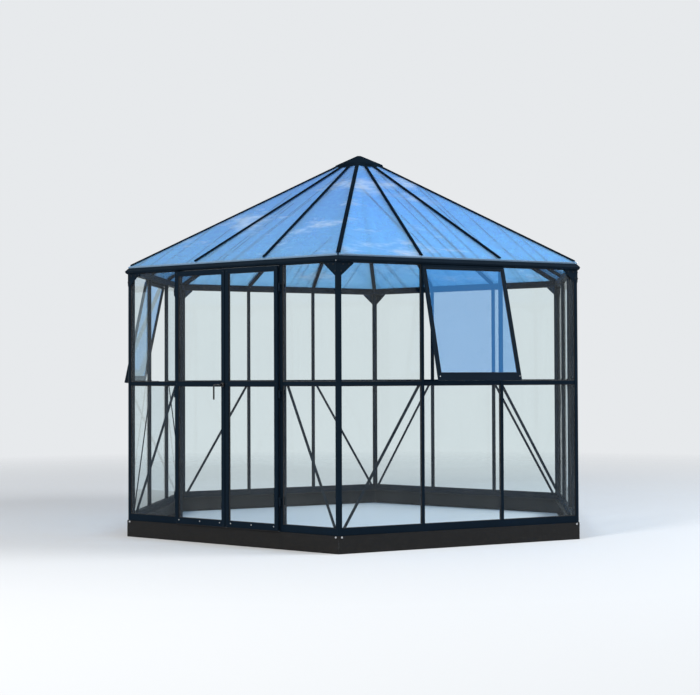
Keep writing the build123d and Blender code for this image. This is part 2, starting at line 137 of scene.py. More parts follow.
class Shape:
    """Points and faces that are gathered into one piece."""

    def __init__(self):
        self.points, self.faces, self.tones = [], [], []
        self.tone = 0

    def add(self, points, faces, place=None):
        """Faces with their own points, in the tone that is set."""
        start = len(self.points)
        self.points += [place @ Vector(p) if place else Vector(p) for p in points]
        self.faces += [[start + i for i in face] for face in faces]
        self.tones += [self.tone] * len(faces)

    def prism(self, outline, low, high, place=None):
        """An outline in local x and y, closed between two heights along z."""
        n = len(outline)
        points = [(x, y, low) for x, y in outline] + [(x, y, high) for x, y in outline]
        sides = [[i, (i + 1) % n, n + (i + 1) % n, n + i] for i in range(n)]
        self.add(points, sides + [list(range(n))[::-1], list(range(n, 2 * n))], place)

    def block(self, low, high, place=None):
        """A block between two opposite corners."""
        outline = [(low[0], low[1]), (high[0], low[1]), (high[0], high[1]), (low[0], high[1])]
        self.prism(outline, low[2], high[2], place)

    def lathe(self, profile, sides, place=None):
        """A profile of (radius, height) points turned about local z. It starts and ends at radius 0."""
        points, rings = [], []
        for radius, height in profile:
            count = sides if radius > 0 else 1
            rings.append([len(points) + i for i in range(count)])
            for i in range(count):
                a = 2 * math.pi * i / sides
                points.append((radius * math.cos(a), radius * math.sin(a), height))
        faces = []
        for low, high in zip(rings, rings[1:]):
            for i in range(sides):
                j = (i + 1) % sides
                face = [low[i % len(low)], low[j % len(low)], high[j % len(high)], high[i % len(high)]]
                faces.append(list(dict.fromkeys(face)))
        self.add(points, faces, place)

    def strip(self, corners, section, place=None):
        """A closed strip along flat corners, with a section of (inset, height) points and mitred turns."""
        n, m = len(corners), len(section)
        points = []
        for i in range(n):
            before, here, after = (Vector(corners[(i + k) % n]).to_2d() for k in (-1, 0, 1))
            first, second = (here - before).normalized(), (after - here).normalized()
            sum_of_normals = Vector((-first.y - second.y, first.x + second.x))
            mitre = sum_of_normals / (1 + first.dot(second))
            for inset, height in section:
                spot = here + mitre * inset
                points.append((spot.x, spot.y, height))
        faces = []
        for i in range(n):
            for k in range(m):
                a, b = i * m + k, i * m + (k + 1) % m
                faces.append([a, (a + m) % (n * m), (b + m) % (n * m), b])
        self.add(points, faces, place)

    def piece(self, name, body, *materials, slot=None):
        """One object on a body. Faces take the material that the tone counted when they were added."""
        mesh = bpy.data.meshes.new(name)
        mesh.from_pydata([tuple(p) for p in self.points], [], self.faces)
        for material in materials:
            mesh.materials.append(material)
        mesh.polygons.foreach_set("material_index", self.tones)
        mesh.shade_smooth()
        mesh.set_sharp_from_angle(angle=sharp_angle)
        made = bpy.data.objects.new(name, mesh)
        bpy.context.scene.collection.objects.link(made)
        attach(made, body)


def circle(radius, count, start=0.0):
    """Points evenly round a circle in plan, from a start angle in degrees."""
    angles = [math.radians(start + 360 * i / count) for i in range(count)]
    return [(radius * math.cos(a), radius * math.sin(a)) for a in angles]


def hex_bolt(shape, place, across, height):
    """A hexagon head with chamfered corners on a washer. Local z points off the surface."""
    radius = across / math.sqrt(3)
    washer_radius, washer_edge, washer_top = radius * 1.25, height * 0.20, height * 0.25
    washer = [(0, 0), (washer_radius, 0), (washer_radius, washer_edge), (radius * 1.2, washer_top)]
    shape.lathe(washer + [(0, washer_top)], sides=20, place=place)
    shoulder, top, top_radius = washer_top + height * 0.75, washer_top + height, radius * 0.86
    head = [(0, washer_top), (radius, washer_top), (radius, shoulder), (top_radius, top), (0, top)]
    shape.lathe(head, sides=6, place=place)


def pan_screw(shape, place, radius):
    """A domed screw head with a small driver recess."""
    height = radius * 0.55
    dome = [(radius * math.cos(a), height * math.sin(a)) for a in (0.0, 0.35, 0.7, 1.05)]
    recess, recess_top, recess_floor = radius * 0.32, height * 0.92, height * 0.4
    driver = [(recess, recess_top), (recess * 0.7, recess_floor), (0, recess_floor)]
    shape.lathe([(0, 0)] + dome + driver, sides=16, place=place)


def new_material(name):
    """An empty node material and its tree."""
    material = bpy.data.materials.new(name)
    material.use_nodes = True
    tree = material.node_tree
    tree.nodes.clear()
    return material, tree


def node(tree, kind, links=None, **settings):
    """A node with settings, plain socket values and links from other sockets."""
    made = tree.nodes.new("ShaderNode" + kind)
    for name, value in settings.items():
        setattr(made, name, value)
    for name, source in (links or {}).items():
        socket = made.inputs[name]
        if isinstance(source, bpy.types.NodeSocket):
            tree.links.new(source, socket)
        else:
            socket.default_value = source
    return made


def noise(tree, scale, detail=4.0, roughness=0.55, stretch=(1, 1, 1), offset=(0, 0, 0)):
    """Noise in object space, where stretch divides its size along each axis."""
    place = node(tree, "TexCoord").outputs["Object"]
    mapped = node(tree, "Mapping", {"Vector": place, "Scale": stretch, "Location": offset}).outputs[0]
    links = {"Vector": mapped, "Scale": scale, "Detail": detail, "Roughness": roughness}
    return node(tree, "TexNoise", links).outputs["Fac"]


def graded(tree, value, low, high, start=0.0, end=1.0):
    """A value remapped from one range to another and clamped."""
    links = {"Value": value, "From Min": low, "From Max": high, "To Min": start, "To Max": end}
    return node(tree, "MapRange", links).outputs[0]


def product(tree, first, second):
    return node(tree, "Math", {0: first, 1: second}, operation="MULTIPLY").outputs[0]


def total(tree, first, second):
    return node(tree, "Math", {0: first, 1: second}, operation="ADD").outputs[0]


def mixed_colour(tree, factor, first, second):
    """One colour at a factor of 0, the other at 1."""
    return node(tree, "Mix", {0: factor, 6: first, 7: second}, data_type="RGBA").outputs[2]


def mixed_shader(tree, share, first, second):
    """One shader at a share of 0, the other at 1."""
    return node(tree, "MixShader", {0: share, 1: first, 2: second}).outputs[0]


def see_through(tree, tint):
    return node(tree, "BsdfTransparent", {"Color": tint}).outputs[0]


def mirror(tree, tint, roughness):
    return node(tree, "BsdfGlossy", {"Color": tint, "Roughness": roughness}).outputs[0]


def softened(tree, radius):
    """The normal with its edges rounded."""
    return node(tree, "Bevel", {"Radius": radius}, samples=4).outputs[0]


def bumped(tree, height, strength, distance, normal=None):
    """The normal with small bumps."""
    links = {"Height": height, "Strength": strength, "Distance": distance}
    if normal:
        links["Normal"] = normal
    return node(tree, "Bump", links).outputs[0]


def output(tree, shader):
    tree.links.new(shader, node(tree, "OutputMaterial").inputs["Surface"])


def upward(tree):
    """How far the surface faces up, from 0 to 1."""
    normal = node(tree, "NewGeometry").outputs["Normal"]
    z = node(tree, "SeparateXYZ", {"Vector": normal}).outputs["Z"]
    return graded(tree, z, 0.15, 0.95)


def height_above_ground(tree):
    place = node(tree, "TexCoord").outputs["Object"]
    return node(tree, "SeparateXYZ", {"Vector": place}).outputs["Z"]


def scaled(colour, factor):
    """A colour made darker or lighter, up to white."""
    return tuple(min(1, c * factor) for c in colour[:3]) + (1,)


def painted(name, colour, dust, shine, roughness=0.42, grain=0.12, edge=0.0012):
    """Powder-coated metal: a fine grain, softened edges, faint cloudiness and dust on top faces."""
    material, tree = new_material(name)
    cloud = noise(tree, scale=3.0, detail=5.0)
    specks = graded(tree, noise(tree, scale=60.0, detail=6.0, roughness=0.7), 0.48, 0.75)
    streaks = graded(tree, noise(tree, scale=9.0, detail=5.0, roughness=0.6, stretch=(1, 1, 0.12)), 0.45, 0.8)
    base = mixed_colour(tree, cloud, scaled(colour, 0.75), scaled(colour, 1.45))
    settled = product(tree, upward(tree), total(tree, specks, 0.25))
    amount = product(tree, total(tree, settled, product(tree, streaks, 0.12)), dust)
    coat = mixed_colour(tree, amount, base, dust_tone)
    uneven = graded(tree, noise(tree, scale=25.0, detail=3.0), 0.3, 0.7, roughness - 0.07, roughness + 0.08)
    rough = total(tree, uneven, product(tree, amount, 0.4))
    fine = noise(tree, scale=900.0, detail=2.0)
    bump = bumped(tree, fine, strength=grain, distance=0.0004, normal=softened(tree, edge))
    links = {"Base Color": coat, "Roughness": rough, "Normal": bump, "Specular IOR Level": shine}
    output(tree, node(tree, "BsdfPrincipled", links).outputs[0])
    return material


def plinth_coat():
    """Dark coated steel, splashed with soil from the ground up."""
    material, tree = new_material("plinth_steel")
    low = graded(tree, height_above_ground(tree), 0.0, 0.13, 1.0, 0.35)
    splash = graded(tree, noise(tree, scale=38.0, detail=8.0, roughness=0.72), 0.47, 0.66)
    drops = graded(tree, noise(tree, scale=170.0, detail=5.0, roughness=0.6), 0.60, 0.68)
    clouds = graded(tree, noise(tree, scale=5.0), 0.35, 0.75)
    dark_coat, pale_coat = (0.0034, 0.0036, 0.0042, 1), (0.0078, 0.0078, 0.0080, 1)
    dark_soil, pale_soil = (0.009, 0.0075, 0.0065, 1), (0.028, 0.024, 0.020, 1)
    coat = mixed_colour(tree, noise(tree, scale=12.0), dark_coat, pale_coat)
    soil = mixed_colour(tree, noise(tree, scale=55.0), dark_soil, pale_soil)
    amount = product(tree, product(tree, splash, low), total(tree, product(tree, clouds, 0.7), 0.3))
    dirty = mixed_colour(tree, amount, coat, soil)
    spots = product(tree, product(tree, drops, low), 0.45)
    spotted = mixed_colour(tree, spots, dirty, (0.085, 0.077, 0.066, 1))
    relief = total(tree, amount, product(tree, drops, 0.5))
    bump = bumped(tree, relief, strength=0.5, distance=0.0008, normal=softened(tree, 0.0015))
    rough = graded(tree, amount, 0.0, 1.0, 0.5, 0.92)
    links = {"Base Color": spotted, "Roughness": rough, "Normal": bump, "Specular IOR Level": 0.2}
    output(tree, node(tree, "BsdfPrincipled", links).outputs[0])
    return material


def mirror_share(tree, ior):
    """How much a pane mirrors. Its outer face answers for both, and rays that leave through the back pass."""
    fresnel = node(tree, "Fresnel", {"IOR": ior}).outputs[0]
    leaving = node(tree, "NewGeometry").outputs["Backfacing"]
    entering = node(tree, "Math", {0: 1.0, 1: leaving}, operation="SUBTRACT").outputs[0]
    return product(tree, fresnel, entering)


def pane_material(name, tint, mirror_tint, ior, dust):
    """Clear glass: see-through with a faint tint, mirror-like at a slant in a tinted mirror, which on the
    windows is a painted blue reflection, with dust and dried drops.
    """
    material, tree = new_material(name)
    film = graded(tree, noise(tree, scale=2.2, detail=6.0, roughness=0.6), 0.35, 0.8)
    run_off = noise(tree, scale=14.0, detail=5.0, roughness=0.65, stretch=(1, 1, 0.10))
    streaks = graded(tree, run_off, 0.50, 0.85)
    drops = graded(tree, noise(tree, scale=130.0, detail=3.0), 0.66, 0.74)
    amount = total(tree, product(tree, total(tree, film, streaks), dust), product(tree, drops, dust * 1.6))
    shine = mirror(tree, mirror_tint, roughness=0.015)
    glass = mixed_shader(tree, mirror_share(tree, ior), see_through(tree, tint), shine)
    dirt = node(tree, "BsdfDiffuse", {"Color": (0.62, 0.64, 0.62, 1)}).outputs[0]
    output(tree, mixed_shader(tree, amount, glass, dirt))
    return material


def sheet_material():
    """Twin-wall sheet: a milky skin with a sky tint painted paler near the eave as painted light, pale
    streaks painted in as cloud reflections, dust and drops, and a blue-tinted painted reflection.
    """
    material, tree = new_material("twin_wall_sheet")
    # Painted reflection: pale streaky patches of cloud reflections, mixed into the sheet's colour and into
    # how much of it lets light through.
    streaks = graded(tree, noise(tree, scale=1.9, detail=6.0, roughness=0.6, stretch=(1, 1, 3.4)), 0.52, 0.66)
    painted_reflection_banks = graded(tree, noise(tree, scale=0.8, detail=3.0, roughness=0.5, offset=(4, 2, 1)), 0.38, 0.56)
    painted_cloud_reflection = product(tree, streaks, painted_reflection_banks)
    film = graded(tree, noise(tree, scale=7.0, detail=6.0, roughness=0.65), 0.40, 0.80)
    specks = graded(tree, noise(tree, scale=150.0, detail=3.0), 0.66, 0.75)
    # Painted light: the sheet's tint is made paler towards the eave; the sheet itself does not change there.
    low = graded(tree, height_above_ground(tree), eave + 0.05, eave + 0.75, 1.0, 0.0)
    sky = mixed_colour(tree, low, (0.22, 0.50, 0.98, 1), (0.40, 0.74, 1.0, 1))
    milk_colour = mixed_colour(tree, painted_cloud_reflection, sky, (0.86, 0.90, 0.96, 1))
    milk = node(tree, "BsdfTranslucent", {"Color": milk_colour}).outputs[0]
    skin = node(tree, "BsdfDiffuse", {"Color": milk_colour}).outputs[0]
    body = mixed_shader(tree, 0.45, milk, skin)
    dirt = total(tree, product(tree, film, 0.08), product(tree, specks, 0.10))
    share = total(tree, total(tree, dirt, product(tree, painted_cloud_reflection, 0.38)), 0.34)
    sheet = mixed_shader(tree, share, see_through(tree, (0.72, 0.90, 1.0, 1)), body)
    # Painted reflection: the sheet's mirror is tinted blue, so it shows a blue sky that the pale surroundings
    # don't have.
    painted_blue_sheen = mirror(tree, (0.52, 0.76, 1.0, 1), roughness=0.09)
    output(tree, mixed_shader(tree, mirror_share(tree, ior=1.5), sheet, painted_blue_sheen))
    return material


def rib_material(name, shade, share):
    """The thin walls inside a twin-wall sheet, some of them darkened by damp."""
    material, tree = new_material(name)
    varied = graded(tree, noise(tree, scale=30.0, detail=2.0), 0.35, 0.7)
    milk_colour = mixed_colour(tree, varied, shade, scaled(shade, 1.5))
    milk = node(tree, "BsdfTranslucent", {"Color": milk_colour}).outputs[0]
    output(tree, mixed_shader(tree, share, see_through(tree, (0.74, 0.92, 1.0, 1)), milk))
    return material


def plain_plastic(name, colour, roughness):
    """Moulded or extruded plastic and rubber."""
    material, tree = new_material(name)
    base = mixed_colour(tree, noise(tree, scale=20.0, detail=5.0), colour, scaled(colour, 1.3))
    bump = bumped(tree, noise(tree, scale=500.0), strength=0.1, distance=0.0003)
    rough = graded(tree, noise(tree, scale=40.0), 0.3, 0.7, roughness - 0.06, roughness + 0.06)
    links = {"Base Color": base, "Roughness": rough, "Normal": bump}
    output(tree, node(tree, "BsdfPrincipled", links).outputs[0])
    return material


def bare_metal(name, colour, roughness):
    """Zinc-plated or stainless fasteners with faint tarnish."""
    material, tree = new_material(name)
    tarnish = graded(tree, noise(tree, scale=220.0, detail=5.0), 0.45, 0.7)
    base = mixed_colour(tree, tarnish, colour, scaled(colour, 0.6))
    rough = graded(tree, tarnish, 0.0, 1.0, roughness, roughness + 0.25)
    links = {"Base Color": base, "Roughness": rough, "Metallic": 1.0}
    output(tree, node(tree, "BsdfPrincipled", links).outputs[0])
    return material


# Colours and materials
anthracite = (0.0045, 0.0100, 0.0175, 1)
near_black = (0.005, 0.005, 0.006, 1)
bolt_black = (0.010, 0.012, 0.015, 1)
dust_tone = (0.050, 0.052, 0.054, 1)
clear_tint, clear_mirror = (0.950, 0.975, 0.975, 1), (0.55, 0.63, 0.70, 1)
# Painted reflection: the windows mirror in strong blue, and their IOR of 5.0 below makes that mirror
# stronger, as if they showed a blue sky.
window_tint, window_painted_blue_reflection = (0.80, 0.88, 0.92, 1), (0.10, 0.40, 0.95, 1)
black_frame = painted("black_frame", anthracite, dust=0.06, shine=0.02)
roof_frame = painted("roof_frame", anthracite, dust=0.05, shine=0.0, roughness=0.6)
hinge_metal = painted("hinge_metal", anthracite, dust=0.08, shine=0.06, roughness=0.36)
handle_black = painted("handle_black", near_black, dust=0.05, shine=0.5, roughness=0.2, grain=0.05)
plinth_steel = plinth_coat()
clear_glass = pane_material("clear_glass", clear_tint, clear_mirror, ior=1.5, dust=0.014)
window_glass = pane_material("window_glass", window_tint, window_painted_blue_reflection, ior=5.0, dust=0.012)
twin_wall_sheet = sheet_material()
sheet_ribs = rib_material("sheet_ribs", (0.28, 0.56, 0.90, 1), share=0.35)
damp_ribs = rib_material("damp_ribs", (0.05, 0.10, 0.22, 1), share=0.5)
rubber = plain_plastic("rubber_seal", (0.006, 0.006, 0.007, 1), roughness=0.7)
end_profile = plain_plastic("sheet_end_profile", (0.16, 0.26, 0.38, 1), roughness=0.4)
zinc = bare_metal("zinc_bolts", (0.62, 0.63, 0.65, 1), roughness=0.28)
dark_bolt = painted("dark_bolts", bolt_black, dust=0.05, shine=0.12, roughness=0.35, edge=0.0004)

# Materials by the first letters of a node's name. All other nodes are black_frame
node_materials = {
    "plinth": plinth_steel,
    "glass": clear_glass,
    "roof_sheets": twin_wall_sheet,
    "roof_cap": roof_frame,
    "hip_rafters": roof_frame,
    "rafters": roof_frame,
    "door_left_glass": clear_glass,
    "door_right_glass": clear_glass,
    "window_left_glass": window_glass,
    "window_right_glass": window_glass,
    "door_left_hinges": hinge_metal,
    "door_right_hinges": hinge_metal,
    "door_hinge_pins": hinge_metal,
    "door_handle": handle_black,
    "door_left_rose": handle_black,
}
for name, cad_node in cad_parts.items():
    fitting = [material for start, material in node_materials.items() if name.startswith(start)]
    cad_node.data.materials.clear()
    cad_node.data.materials.append(fitting[0] if fitting else black_frame)

# Panes, as rectangles (low x, low y, high x, high y) in the plane of each wall, door leaf or window
closed_spans = [
    (-post_side, -bay_line - bar_half),
    (-bay_line + bar_half, bay_line - bar_half),
    (bay_line + bar_half, post_side),
]
door_spans = [(-post_side, -jamb_outer), (jamb_outer, post_side)]
levels = [(sill_top, transom_low), (transom_high, eave)]
window_pane = (
    -window_half + window_bar,
    -window_drop + window_bottom_bar,
    window_half - window_bar,
    -window_top_bar,
)


def wall_panes(name):
    """The fixed panes of a wall. A window takes the middle bay's upper one."""
    spans = door_spans if name == "front" else closed_spans
    panes = []
    for bay, (low, high) in enumerate(spans):
        for row, (bottom, top) in enumerate(levels):
            if not (name in window_walls.values() and bay == 1 and row == 1):
                panes.append((low, bottom, high, top))
    return panes


def leaf_panes(way):
    """The lower and upper pane of a door leaf."""
    inner, outer = leaf_meeting + leaf_stile, leaf_edge - leaf_stile
    low, high = sorted((way * inner, way * outer))
    rail_low = transom_middle - leaf_mid_rail / 2
    lower = (low, leaf_low + leaf_bottom_rail, high, rail_low)
    upper = (low, rail_low + leaf_mid_rail, high, leaf_high - leaf_top_rail)
    return [lower, upper]


def seal_loops(shape, panes, place, face_out, face_in):
    """Rounded rubber strips round panes, on both faces of the glass."""
    width, proud = 0.004, 0.0028
    rounded = [(0, 0), (0, proud), (width * 0.5, proud * 0.9), (width, proud * 0.35), (width, 0)]
    outer = [(inset, face_out + height) for inset, height in rounded]
    inner = [(inset, face_in - height) for inset, height in rounded[::-1]]
    for low_x, low_y, high_x, high_y in panes:
        corners = [(low_x, low_y), (high_x, low_y), (high_x, high_y), (low_x, high_y)]
        shape.strip(corners, outer, place)
        shape.strip(corners, inner, place)


# Rubber glazing strips, and the seal between the door leaves
seals = Shape()
for name, angle in walls.items():
    seal_loops(seals, wall_panes(name), at_wall(angle, glass_out), glass_thickness, 0.0)
for side_name in window_walls:
    seal_loops(seals, [window_pane], at_window(side_name), glass_thickness / 2, -glass_thickness / 2)
seals.piece("glazing_seals", "house", rubber)

meeting_seal_width, meeting_seal_half = 0.0024, 0.004
for side_name, way in door_sides.items():
    leaf_seals = Shape()
    place = at_wall(walls["front"], leaf_middle_out)
    seal_loops(leaf_seals, leaf_panes(way), place, glass_thickness / 2, -glass_thickness / 2)
    edge = way * leaf_meeting
    low, high = sorted((edge, edge - way * meeting_seal_width))
    leaf_seals.block((low, leaf_low, -meeting_seal_half), (high, leaf_high, meeting_seal_half), place)
    leaf_seals.piece(f"door_{side_name}_seals", f"door_{side_name}", rubber)

# Twin-wall sheets: the ribs inside them, a few dark with damp, and the profile that closes their lower ends
rib_pitch, rib_thickness, damp_thickness, skin = 0.0105, 0.0006, 0.0022, 0.0008
damp_share, damp_reach, shortest_rib = 0.06, 0.35, 0.02
rib_top_gap, rib_end_gap = 0.004, 0.002
sheet_top = sheet_top_radius / math.cos(roof_pitch)
fan = eave_half / slope_length
bar_room = web_half * 1.3  # half a bar's web and the gap beside it


def rib_span(x, left, right):
    """Where a rib at x starts and ends down the slope, between the two bars beside its sheet."""
    low, high = sheet_top + rib_top_gap, slope_length - rib_end_gap
    for edge, way in ((left, 1), (right, -1)):
        room = way * x - bar_room
        slope = way * edge
        if slope > 1e-9:
            high = min(high, room / slope)
        elif slope < -1e-9:
            low = max(low, room / slope)
        elif room < 0:
            high = low
    return low, high


rib_count = int(eave_half / rib_pitch)
for name, angle in walls.items():
    ribs = Shape()
    place = at_slope(angle)
    for i in range(-rib_count, rib_count + 1):
        x = (i + 0.5) * rib_pitch
        for third in (-1, 0, 1):
            low, high = rib_span(x, (2 * third - 1) / 3 * fan, (2 * third + 1) / 3 * fan)
            if high - low > shortest_rib:
                damp = random.random() < damp_share
                ribs.tone = 1 if damp else 0
                half = (damp_thickness if damp else rib_thickness) / 2
                top = low + (high - low) * random.uniform(0.0, damp_reach) if damp else low
                ribs.block((x - half, -high, skin), (x + half, -top, sheet_thickness - skin), place)
    ribs.piece(f"sheet_ribs_{name}", "house", sheet_ribs, damp_ribs, slot="twin_wall_sheet")

profile_flange, profile_wall, profile_gap, profile_foot = 0.0030, 0.0008, 0.0001, -0.0002
profile_outside, profile_inside = -slope_length - profile_wall, -slope_length - profile_gap
profile_top, profile_under = sheet_thickness + profile_wall, sheet_thickness + profile_gap
profile = [
    (profile_outside, profile_foot),
    (profile_outside, profile_top),
    (-slope_length + profile_flange, profile_top),
    (-slope_length + profile_flange, profile_under),
    (profile_inside, profile_under),
    (profile_inside, profile_foot),
]
ends = Shape()
for angle in walls.values():
    points = [(way * (-y * fan - bar_room), y, z) for way in (-1, 1) for y, z in profile]
    m = len(profile)
    faces = [[k, (k + 1) % m, m + (k + 1) % m, m + k] for k in range(m)]
    faces += [list(range(m))[::-1], list(range(m, 2 * m))]
    ends.add(points, faces, at_slope(angle))
ends.piece("sheet_end_profiles", "house", end_profile)

# A raised rib along the strip of every roof bar, from the cap's rim down
rib_half, rib_rise, hip_rib_rise = 0.0075, 0.006, 0.004
rib_sink, hip_rib_sink = 0.0002, 0.001
rib_cap_gap, hip_rib_cap_gap = 0.012, 0.008
rib_section = [(-rib_half, 0.0), (rib_half, 0.0), (rib_half * 0.85, 1.0), (-rib_half * 0.85, 1.0)]
rafter_outline = [(x, y * rib_rise - rib_sink) for x, y in rib_section]
hip_outline = [(x, y * hip_rib_rise + strip_top - hip_rib_sink) for x, y in rib_section]
bar_ribs = Shape()
for angle in walls.values():
    for edge in (-1 / 3, 1 / 3):
        down = Vector((edge * eave_half, -slope_length, 0)).normalized()
        up = Vector((0, 0, 1))
        place = at_slope(angle, strip_top) @ axes(up.cross(down), up, down, Vector((0, 0, 0)))
        bar_start = (cap_edge + rib_cap_gap) / math.cos(roof_pitch)
        bar_end = math.hypot(edge * eave_half, slope_length) - strip_setback
        bar_ribs.prism(rafter_outline, bar_start, bar_end, place)
    out = direction(angle + 30)
    down = out * math.cos(hip_pitch) - Vector((0, 0, math.sin(hip_pitch)))
    up = out * math.sin(hip_pitch) + Vector((0, 0, math.cos(hip_pitch)))
    place = axes(up.cross(down), up, down, Vector((0, 0, apex)))
    bar_start = (cap_edge + hip_rib_cap_gap) / math.cos(hip_pitch)
    bar_end = sheet_edge / math.cos(math.pi / 6) / math.cos(hip_pitch) - strip_setback
    bar_ribs.prism(hip_outline, bar_start, bar_end, place)
bar_ribs.piece("roof_bar_ribs", "house", roof_frame)

# Flashing round the cap's foot: a round collar on the bars' strips, and a closing wall under the cap's rim, a
# seal that is also painted shade: its dark face fills the shaded gap there
collar_out, collar_in, collar_sides = 0.199, 0.160, 36
collar_over_sheet, collar_over_strip = 0.0002, 0.001
collar_foot = apex + (sheet_thickness + collar_over_sheet) / math.cos(roof_pitch)
collar_head = apex + (strip_top + collar_over_strip) / math.cos(roof_pitch)
collar = [
    (collar_out, collar_foot),
    (collar_out, collar_head),
    (collar_in, collar_head),
    (collar_in, collar_foot),
]
corner_count = len(collar) * collar_sides
points, faces = [], []
for i in range(collar_sides):
    turn = i * 360 / collar_sides
    spoke = direction(turn)
    fall = math.cos(math.radians(turn % 60 - 30)) * math.tan(roof_pitch)
    points += [spoke * radius + Vector((0, 0, level - radius * fall)) for radius, level in collar]
    for k in range(len(collar)):
        near, far = len(collar) * i + k, len(collar) * i + (k + 1) % len(collar)
        faces.append([near, (near + len(collar)) % corner_count, (far + len(collar)) % corner_count, far])
flashing = Shape()
flashing.add(points, faces)
# Painted shade: the closing wall is a real seal, made tall enough to fill the dark gap under the cap's rim
# with a dark face.
closing_inset, closing_depth, closing_rise = 0.003, 0.008, 0.014
closing_radius = cap_edge - closing_inset
closing_foot = apex + sheet_thickness / math.cos(roof_pitch) - closing_radius * math.tan(roof_pitch)
closing_head = cap_low + closing_rise
closing_section = [
    (0, closing_foot),
    (0, closing_head),
    (closing_depth, closing_head),
    (closing_depth, closing_foot),
]
flashing.strip(circle(closing_radius, 6, start=30), closing_section)
flashing.piece("roof_cap_flashing", "house", roof_frame)

# Bolts at the plinth's corners
corner_bolt_inset, corner_bolt_below = 0.012, 0.009
plinth_bolts = Shape()
for angle in walls.values():
    for way in (-1, 1):
        along = way * (wall_length / 2 - corner_bolt_inset)
        place = at_wall(angle, plinth_face, along, plinth_top - corner_bolt_below)
        hex_bolt(plinth_bolts, place, across=0.010, height=0.0042)
plinth_bolts.piece("plinth_bolts", "house", zinc)

# Nuts on the inner side of the bars and door posts
jamb_middle, jamb_in, top_nut_below = (jamb_inner + jamb_outer) / 2, -0.030, 0.02
nut_heights = (sill_top - sill_height / 2, transom_middle, eave - top_nut_below)
frame_nuts = Shape()
for name, angle in walls.items():
    upright, depth = (jamb_middle, jamb_in) if name == "front" else (bay_line, bar_in)
    for way in (-1, 1):
        for height in nut_heights:
            place = turned(at_wall(angle, depth, way * upright, height), 180, "Y")
            hex_bolt(frame_nuts, place, across=0.010, height=0.005)
frame_nuts.piece("frame_nuts", "house", dark_bolt)

# Bolts in the corner plates, as (in from the post's side, below the eave)
plate_face = 0.0183
plate_places = ((0.012, 0.016), (0.055, 0.014), (-0.004, 0.062))
plate_bolts = Shape()
for angle in walls.values():
    for way in (-1, 1):
        for inward, below in plate_places:
            place = at_wall(angle, plate_face, way * (post_side - inward), eave - below)
            hex_bolt(plate_bolts, place, across=0.009, height=0.0035)
plate_bolts.piece("plate_bolts", "house", dark_bolt)

# Small bolts in the lower slope of the eave's nose. The one beside the door wall's right corner is bright
nose_out, nose_height = 0.0317, 0.0095
nose_tilt = math.degrees(math.atan2(0.0055, 0.0125))
corner_places, middle_place = (0.955, 0.925, 0.900), 0.030
eave_bolts = Shape()
for name, angle in walls.items():
    places = [way * along for way in (-1, 1) for along in corner_places]
    if name == "front":
        places += [-middle_place, middle_place]
    for along in places:
        bright = name == "front" and along == corner_places[0]
        eave_bolts.tone = 0 if bright else 1
        place = turned(at_wall(angle, nose_out, along, eave + nose_height), nose_tilt, "X")
        hex_bolt(eave_bolts, place, across=0.0062, height=0.0016)
eave_bolts.piece("eave_bolts", "house", zinc, dark_bolt)

# Bolts under the hub, one for each roof bar
hub_bolt_radius, roof_bars = 0.078, 18
hub_bolts = Shape()
for x, y in circle(hub_bolt_radius, roof_bars):
    place = turned(Matrix.Translation((x, y, hub_low)), 180, "X")
    hex_bolt(hub_bolts, place, across=0.011, height=0.006)
hub_bolts.piece("hub_bolts", "house", dark_bolt)

# Screws in the door leaves, and the plates that their hinges stand on
bottom_screw_level, bottom_screw_end = leaf_low + 0.026, 0.036
bottom_screw_places = (0.050, 0.235, leaf_edge - bottom_screw_end)
meeting_stile, hinge_stile = leaf_meeting + leaf_stile / 2, leaf_edge - leaf_stile / 2
stile_screw_levels = (leaf_low + 0.010, leaf_high - 0.017, transom_middle)
hinge_middles = (leaf_low + 0.199, (leaf_low + leaf_high) / 2 + 0.0255, leaf_high - 0.148)
plate_half_height, plate_thickness, plate_screw_shift = 0.034, 0.0018, 0.024
plate_inner, plate_outer, plate_screw_line = jamb_inner + 0.011, jamb_outer - 0.002, jamb_outer - 0.0065
hinge_plates, hinge_plate_screws = Shape(), Shape()
for side_name, way in door_sides.items():
    screws, dark_screws = Shape(), Shape()
    for along in bottom_screw_places:
        pan_screw(screws, at_wall(walls["front"], leaf_out, way * along, bottom_screw_level), radius=0.0042)
    for along in (meeting_stile, hinge_stile):
        for height in stile_screw_levels:
            under_rose = side_name == "left" and along == meeting_stile and height == transom_middle
            if not under_rose:
                pan_screw(dark_screws, at_wall(walls["front"], leaf_out, way * along, height), radius=0.0040)
    screws.piece(f"door_{side_name}_screws", f"door_{side_name}", zinc)
    dark_screws.piece(f"door_{side_name}_corner_screws", f"door_{side_name}", dark_bolt)
    for middle in hinge_middles:
        low, high = sorted((way * plate_inner, way * plate_outer))
        low_corner, high_corner = (low, -plate_half_height, 0), (high, plate_half_height, plate_thickness)
        hinge_plates.block(low_corner, high_corner, at_wall(walls["front"], bar_out, 0, middle))
        for shift in (-plate_screw_shift, plate_screw_shift):
            place = at_wall(walls["front"], bar_out + plate_thickness, way * plate_screw_line, middle + shift)
            pan_screw(hinge_plate_screws, place, radius=0.0034)
hinge_plates.piece("door_hinge_plates", "house", hinge_metal)
hinge_plate_screws.piece("door_hinge_plate_screws", "house", dark_bolt)

# Rubber bulb up both sides of the door opening
bulb = [(0.0, 0.0), (0.0, 0.0040), (0.0012, 0.0058), (0.0036, 0.0058), (0.0048, 0.0040), (0.0048, 0.0)]
bulb_line, bulb_end_gap = jamb_inner + 0.001, 0.002
normal = direction(walls["front"])
place = axes(direction(0), normal, Vector((0, 0, 1)), normal * (apothem + bar_out))
opening_seal = Shape()
for way in (-1, 1):
    outline = [(way * (bulb_line + x), z) for x, z in bulb]
    if way > 0:
        outline = outline[::-1]
    opening_seal.prism(outline, plinth_top + bulb_end_gap, eave - bulb_end_gap, place)
opening_seal.piece("door_opening_seal", "house", rubber)

